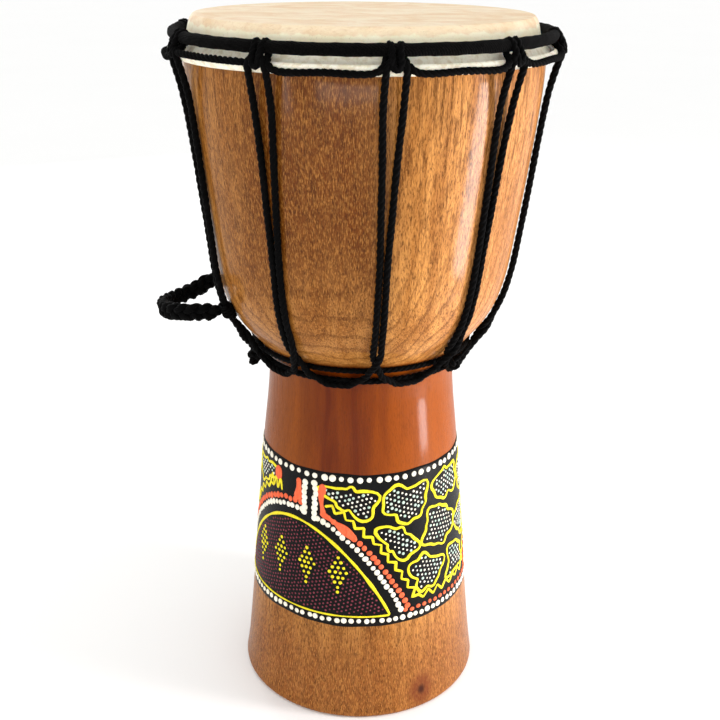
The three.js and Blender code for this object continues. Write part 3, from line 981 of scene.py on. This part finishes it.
def cell_outline(seed, others):
    """The rounded edge of the room nearer to a cell's middle than to the others'."""
    turns = np.linspace(0, 2 * np.pi, 48, endpoint=False)
    reach = []
    for turn in turns:
        r = 2.0
        while r < 20 and in_cell(seed[0] + r * math.cos(turn), seed[1] + r * math.sin(turn), seed, others):
            r += 0.5
        reach.append(r)
    reach = np.array(reach)
    for _ in range(2):
        reach = (np.roll(reach, 1) + 2 * reach + np.roll(reach, -1)) / 4
    waves = random.uniform(0, 2 * np.pi, 3)
    reach = reach * (
        0.9 + 0.11 * np.sin(3 * turns + waves[0]) + 0.09 * np.sin(5 * turns + waves[1])
        + 0.05 * np.sin(9 * turns + waves[2])
    )
    return np.array(seed) + np.stack([reach * np.cos(turns), reach * np.sin(turns)], axis=-1)


def inside_outline(outline, points, margin):
    """Which points lie inside a closed outline, at least a margin away from it."""
    x, z = points.T
    x1, z1 = outline.T
    x2, z2 = np.roll(outline, -1, axis=0).T
    crosses = (z1 > z[:, None]) != (z2 > z[:, None])
    at_x = x1 + (x2 - x1) * (z[:, None] - z1) / np.where(z2 == z1, 1e-9, z2 - z1)
    inside = (crosses & (x[:, None] < at_x)).sum(axis=1) % 2 == 1
    away = np.hypot(x[:, None] - x1, z[:, None] - z1).min(axis=1)
    return inside & (away > margin)


def dot_grid(low, high, pitch, lean):
    """Places on a leaning, slightly uneven grid that covers a flat box."""
    u, v = np.meshgrid(np.arange(-60, 60), np.arange(-60, 60))
    x = (u + 0.5 * (v % 2)) * pitch
    z = v * pitch * 0.9
    leaning = [x * math.cos(lean) - z * math.sin(lean), x * math.sin(lean) + z * math.cos(lean)]
    points = np.stack(leaning, axis=-1).reshape(-1, 2) + (np.array(low) + high) / 2
    points = points[np.all((points > low) & (points < high), axis=1)]
    return points + random.normal(0, 0.12, points.shape)


def painted_cells(white, yellow, sage):
    middle = np.array([PITCH / 2, 0])
    seeds = [tuple(middle + seed) for seed in CELL_SEEDS]
    for i, seed in enumerate(seeds):
        others = seeds[:i] + seeds[i + 1:]
        outline = cell_outline(seed, others)
        grid = dot_grid(outline.min(axis=0), outline.max(axis=0), DOT_GRID, random.uniform(-0.5, 0.5))
        grid = grid[inside_outline(outline, grid, 1.5)]
        for dome in DOMES:
            stroke(yellow, outline, dome, 1.3, closed=True)
            for x, z in grid:
                pale = random.random() < 0.35
                width = random.uniform(0.85, 1.2) * (1.3 if pale else 1)
                dot(sage if pale else white, x, z, dome, width, None, 0.2, 0, 7)


def painted_dome(dome, white, yellow, coral, maroon):
    stroke(yellow, dome_line(), dome, 1.35)
    stroke(yellow, [(-DOME_HALF_WIDTH, DOME_FOOT), (DOME_HALF_WIDTH, DOME_FOOT)], dome, 0.8)
    # Bead rows follow the dome, and break where the columns stand on it.
    for outset, shape, pitch, width in ((BEAD_OUTSET, white, 2.75, 2.4), (CORAL_OUTSET, coral, 3.0, 2.5)):
        for x, z in row(dome_line(outset), pitch):
            if not CHIMNEY[0] - 1 < x < CHIMNEY[1] + 1:
                size = width * random.uniform(0.9, 1.2)
                dot(shape, x, z, dome, size, size * random.uniform(0.9, 1.2), 0.42, 0, 12)
    for x in CHIMNEY:
        foot = float(dome_height(x)) + BEAD_OUTSET - 0.5
        for z in np.arange(foot, CHIMNEY_TOP, 2.3):
            dot(white, x + random.normal(0, 0.25), z, dome, random.uniform(2.7, 3.4), 3.0, 0.45, 0, 14)
    stem = CORAL_OUTSET + 0.5
    for x, lean in ((CHIMNEY[0] - 3.6, -0.4), (CHIMNEY[1] + 3.4, 0.9)):
        foot = float(dome_height(x)) + stem
        halfway = (foot + CHIMNEY_TOP) / 2
        bent = [(x + lean, foot, 0), (x - lean / 2, halfway, 0), (x + lean / 3, CHIMNEY_TOP, 0)]
        stroke(coral, cord_line(bent, 0.6)[:, :2], dome, 3.2, 0.4, unevenness=0.22)
    thick = dome_line(CORAL_OUTSET)
    thick = thick[(thick[:, 0] > CHIMNEY[1] + 3) & (thick[:, 0] < 30)]
    stroke(coral, thick, dome, 3.1, 0.42, unevenness=0.26)
    # A blob and a scribble to the left of the columns.
    stroke(coral, [(-12.5, 113), (-12, 106.5)], dome, 4.2, 0.42)
    scribble = [(-19 + 1.7 * i, 107.5 if i % 2 else 102.5) for i in range(7)]
    stroke(yellow, cord_line([(x, z, 0) for x, z in scribble], 0.4)[:, :2], dome, 1.1)
    # Diamonds of yellow dots in a field of maroon ones.
    diamonds = []
    for middle in DIAMOND_PLACES:
        top = 81.5 - abs(middle) * 0.12
        for r, count in enumerate(DIAMOND_ROWS):
            for i in range(count):
                x = middle + (i - (count - 1) / 2) * DIAMOND_PITCH
                diamonds.append((x, top - DIAMOND_PITCH * r))
    for x, z in diamonds:
        x, z = x + random.normal(0, 0.1), z + random.normal(0, 0.1)
        dot(yellow, x, z, dome, random.uniform(1.35, 1.7), None, 0.32)
    field = dot_grid((-DOME_HALF_WIDTH, DOME_FOOT), (DOME_HALF_WIDTH, DOME_FOOT + DOME_RISE), 1.9, 0.35)
    base = np.stack([np.linspace(DOME_HALF_WIDTH, -DOME_HALF_WIDTH, 90), np.full(90, DOME_FOOT)], axis=-1)
    outline = np.vstack([dome_line(), base])
    field = field[inside_outline(outline, field, 1.5)]
    spots = np.array(diamonds)
    for x, z in field:
        if np.hypot(spots[:, 0] - x, spots[:, 1] - z).min() > 1.35:
            dot(maroon, x, z, dome, random.uniform(0.8, 1.1), None, 0.18, 0, 7)


def painted_band():
    """The black ground with its dots and lines, each colour one piece."""
    low, high = BAND
    height = np.linspace(low, high, 30)
    painted = np.stack([wall(height) + PAINT, height], axis=-1)
    outline = np.vstack([[(wall(low) - 0.5, low)], painted, [(wall(high) - 0.5, high)]])
    ground = Shape()
    rings = turned(outline, hand_made)
    angle = np.linspace(0, 2 * np.pi, SEGMENTS, endpoint=False)
    wave = 0.18 * np.sin(7 * angle) + 0.12 * np.sin(17 * angle + 1)
    for column in (0, 1, -2, -1):
        rings[:, column, 2] += wave * (1 if column >= 0 else -1)
    ground.add_rings(rings, closed=True)
    ground.piece("band_ground", GROUND)
    white, yellow, coral, maroon, sage = edge_dots(), Shape(), Shape(), Shape(), Shape()
    zigzag = zigzag_line()
    for dome in DOMES:
        painted_dome(dome, white, yellow, coral, maroon)
        stroke(yellow, zigzag, dome, 1.2)
        foot = np.arange(DOME_HALF_WIDTH + 7, PITCH - DOME_HALF_WIDTH - 6, 3.1)
        for x in foot:
            dot(coral, x, 51.9 + random.normal(0, 0.15), dome, random.uniform(1.9, 2.5), 2.0, 0.42)
    painted_cells(white, yellow, sage)
    white.piece("band_white_dots", WHITE)
    yellow.piece("band_yellow_lines", YELLOW)
    coral.piece("band_coral_beads", ORANGE)
    maroon.piece("band_maroon_dots", MAROON)
    sage.piece("band_sage_dots", SAGE)


painted_band()


def head():
    """The skin: flat over the bearing edge, down the rim, round its hoop, and pulled in by the loops."""
    surface = HEIGHT - SKIN / 2
    over_the_rim = [
        (65.3, surface), (67.3, 298.8), (68.4, 296.5), (69.1, 293.5), (70.2, 290.7), (72.2, 287.8),
    ]
    fold = [round_wire(HOOP, FOLD - SKIN / 2, way) for way in np.linspace(165, 430, 10)]
    flat = [(r, surface) for r in (20, 40, 55)]
    middle = outline_curve([(0.02, surface), *flat, *over_the_rim, *fold], 8)
    out = leftwards(directions(middle)) * SKIN / 2
    angle = np.linspace(0, 360, 360, endpoint=False)[:, None]
    radians = np.radians(angle)
    loop_pull = np.cos(np.radians((angle - TOP_ANGLE) * PAIRS))
    pleats = np.sin(47 * radians + 2 * np.sin(5 * radians)) * 0.5 + np.sin(31 * radians) * 0.3
    slack = np.clip((HEIGHT - 4 - middle[:, 1]) / 8, 0, 1)
    stray = slack * (0.10 * pleats - 0.22 * loop_pull)
    rings = []
    for face in (middle + out, (middle - out)[::-1]):
        s = stray if face[0, 1] > surface else stray[:, ::-1]
        rings.append(at(angle, face[:, 0] + s, face[:, 1]))
    shape = Shape()
    shape.add_rings(np.concatenate(rings, axis=1)[:, ::-1], closed=True)
    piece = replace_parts(shape.piece("goatskin_head", HIDE), "drum_skin")


def crown_binding():
    """A strip of black cloth wound round the wire ring, each turn lapping the last."""
    wraps, per_wrap, sides = 62, 12, 20
    steps = wraps * per_wrap
    around = np.linspace(0, 2 * np.pi, sides, endpoint=False)
    wound = np.arange(steps)[:, None] / per_wrap - around / (2 * np.pi)
    lap = wound % 1
    edge = 0.05 * np.exp(-(((lap - 0.5) / 0.16) ** 2))
    radius = 1.06 * RING_BINDING * (1 + edge + 0.03 * np.sin(wound * 2.4))
    section = np.stack([radius * np.cos(around), radius * np.sin(around)], axis=-1)
    shape = Shape()
    shape.add_hoop(CROWN[0], CROWN[1], section)
    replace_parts(shape.piece("cloth_bound_ring", CLOTH), "crown_ring_binding")


head()
crown_binding()
for name in ("flesh_hoop", "crown_ring"):
    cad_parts[name].data.materials.clear()
    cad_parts[name].data.materials.append(IRON)


# ---- the table and the light ----
def stage():
    mesh = bpy.data.meshes.new("table_top")
    reach = 12  # metres
    corners = [(-reach, -reach, 0), (reach, -reach, 0), (reach, reach, 0), (-reach, reach, 0)]
    mesh.from_pydata(corners, [], [(0, 1, 2, 3)])
    s = Shader("pale_table", Roughness=0.7)
    mesh.materials.append(s.finish(s.mix(s.noise(0.004, 3), srgb(249, 249, 248), srgb(252, 252, 251))))
    table = bpy.data.objects.new("table_top", mesh)
    scene.collection.objects.link(table)


def softbox(name, angle, distance, height, size, power, color=(1, 1, 1), aim=0.16):
    """A rectangular light that faces the drum. Distances, sizes and heights are in metres."""
    data = bpy.data.lights.new(name, "AREA")
    data.shape = "RECTANGLE"
    data.size, data.size_y = size
    data.energy = power
    data.color = color
    light = bpy.data.objects.new(name, data)
    place = Vector(at(angle, distance, height))
    facing = (Vector((0, 0, aim)) - place).to_track_quat("-Z", "Y")
    light.matrix_world = Matrix.Translation(place) @ facing.to_matrix().to_4x4()
    scene.collection.objects.link(light)


def studio():
    world = bpy.data.worlds.new("studio")
    world.use_nodes = True
    world.node_tree.nodes["Background"].inputs["Color"].default_value = (1, 1, 1, 1)
    world.node_tree.nodes["Background"].inputs["Strength"].default_value = 1.03
    scene.world = world
    softbox("window_right", 72, 0.8, 0.42, (0.1, 0.5), 0.8, (1, 0.97, 0.96))
    softbox("gloss_right", 74, 0.38, 0.13, (0.075, 0.22), 1.4, (1, 0.95, 0.97), 0.13)
    softbox("window_left", -46, 0.9, 0.25, (0.05, 0.6), 0.7)
    softbox("low_front", -8, 1.1, 0.10, (0.8, 0.2), 2.2)
    softbox("back_left", 205, 1.1, 0.5, (0.3, 0.8), 2)
    scene.view_settings.view_transform = "Standard"


stage()
studio()
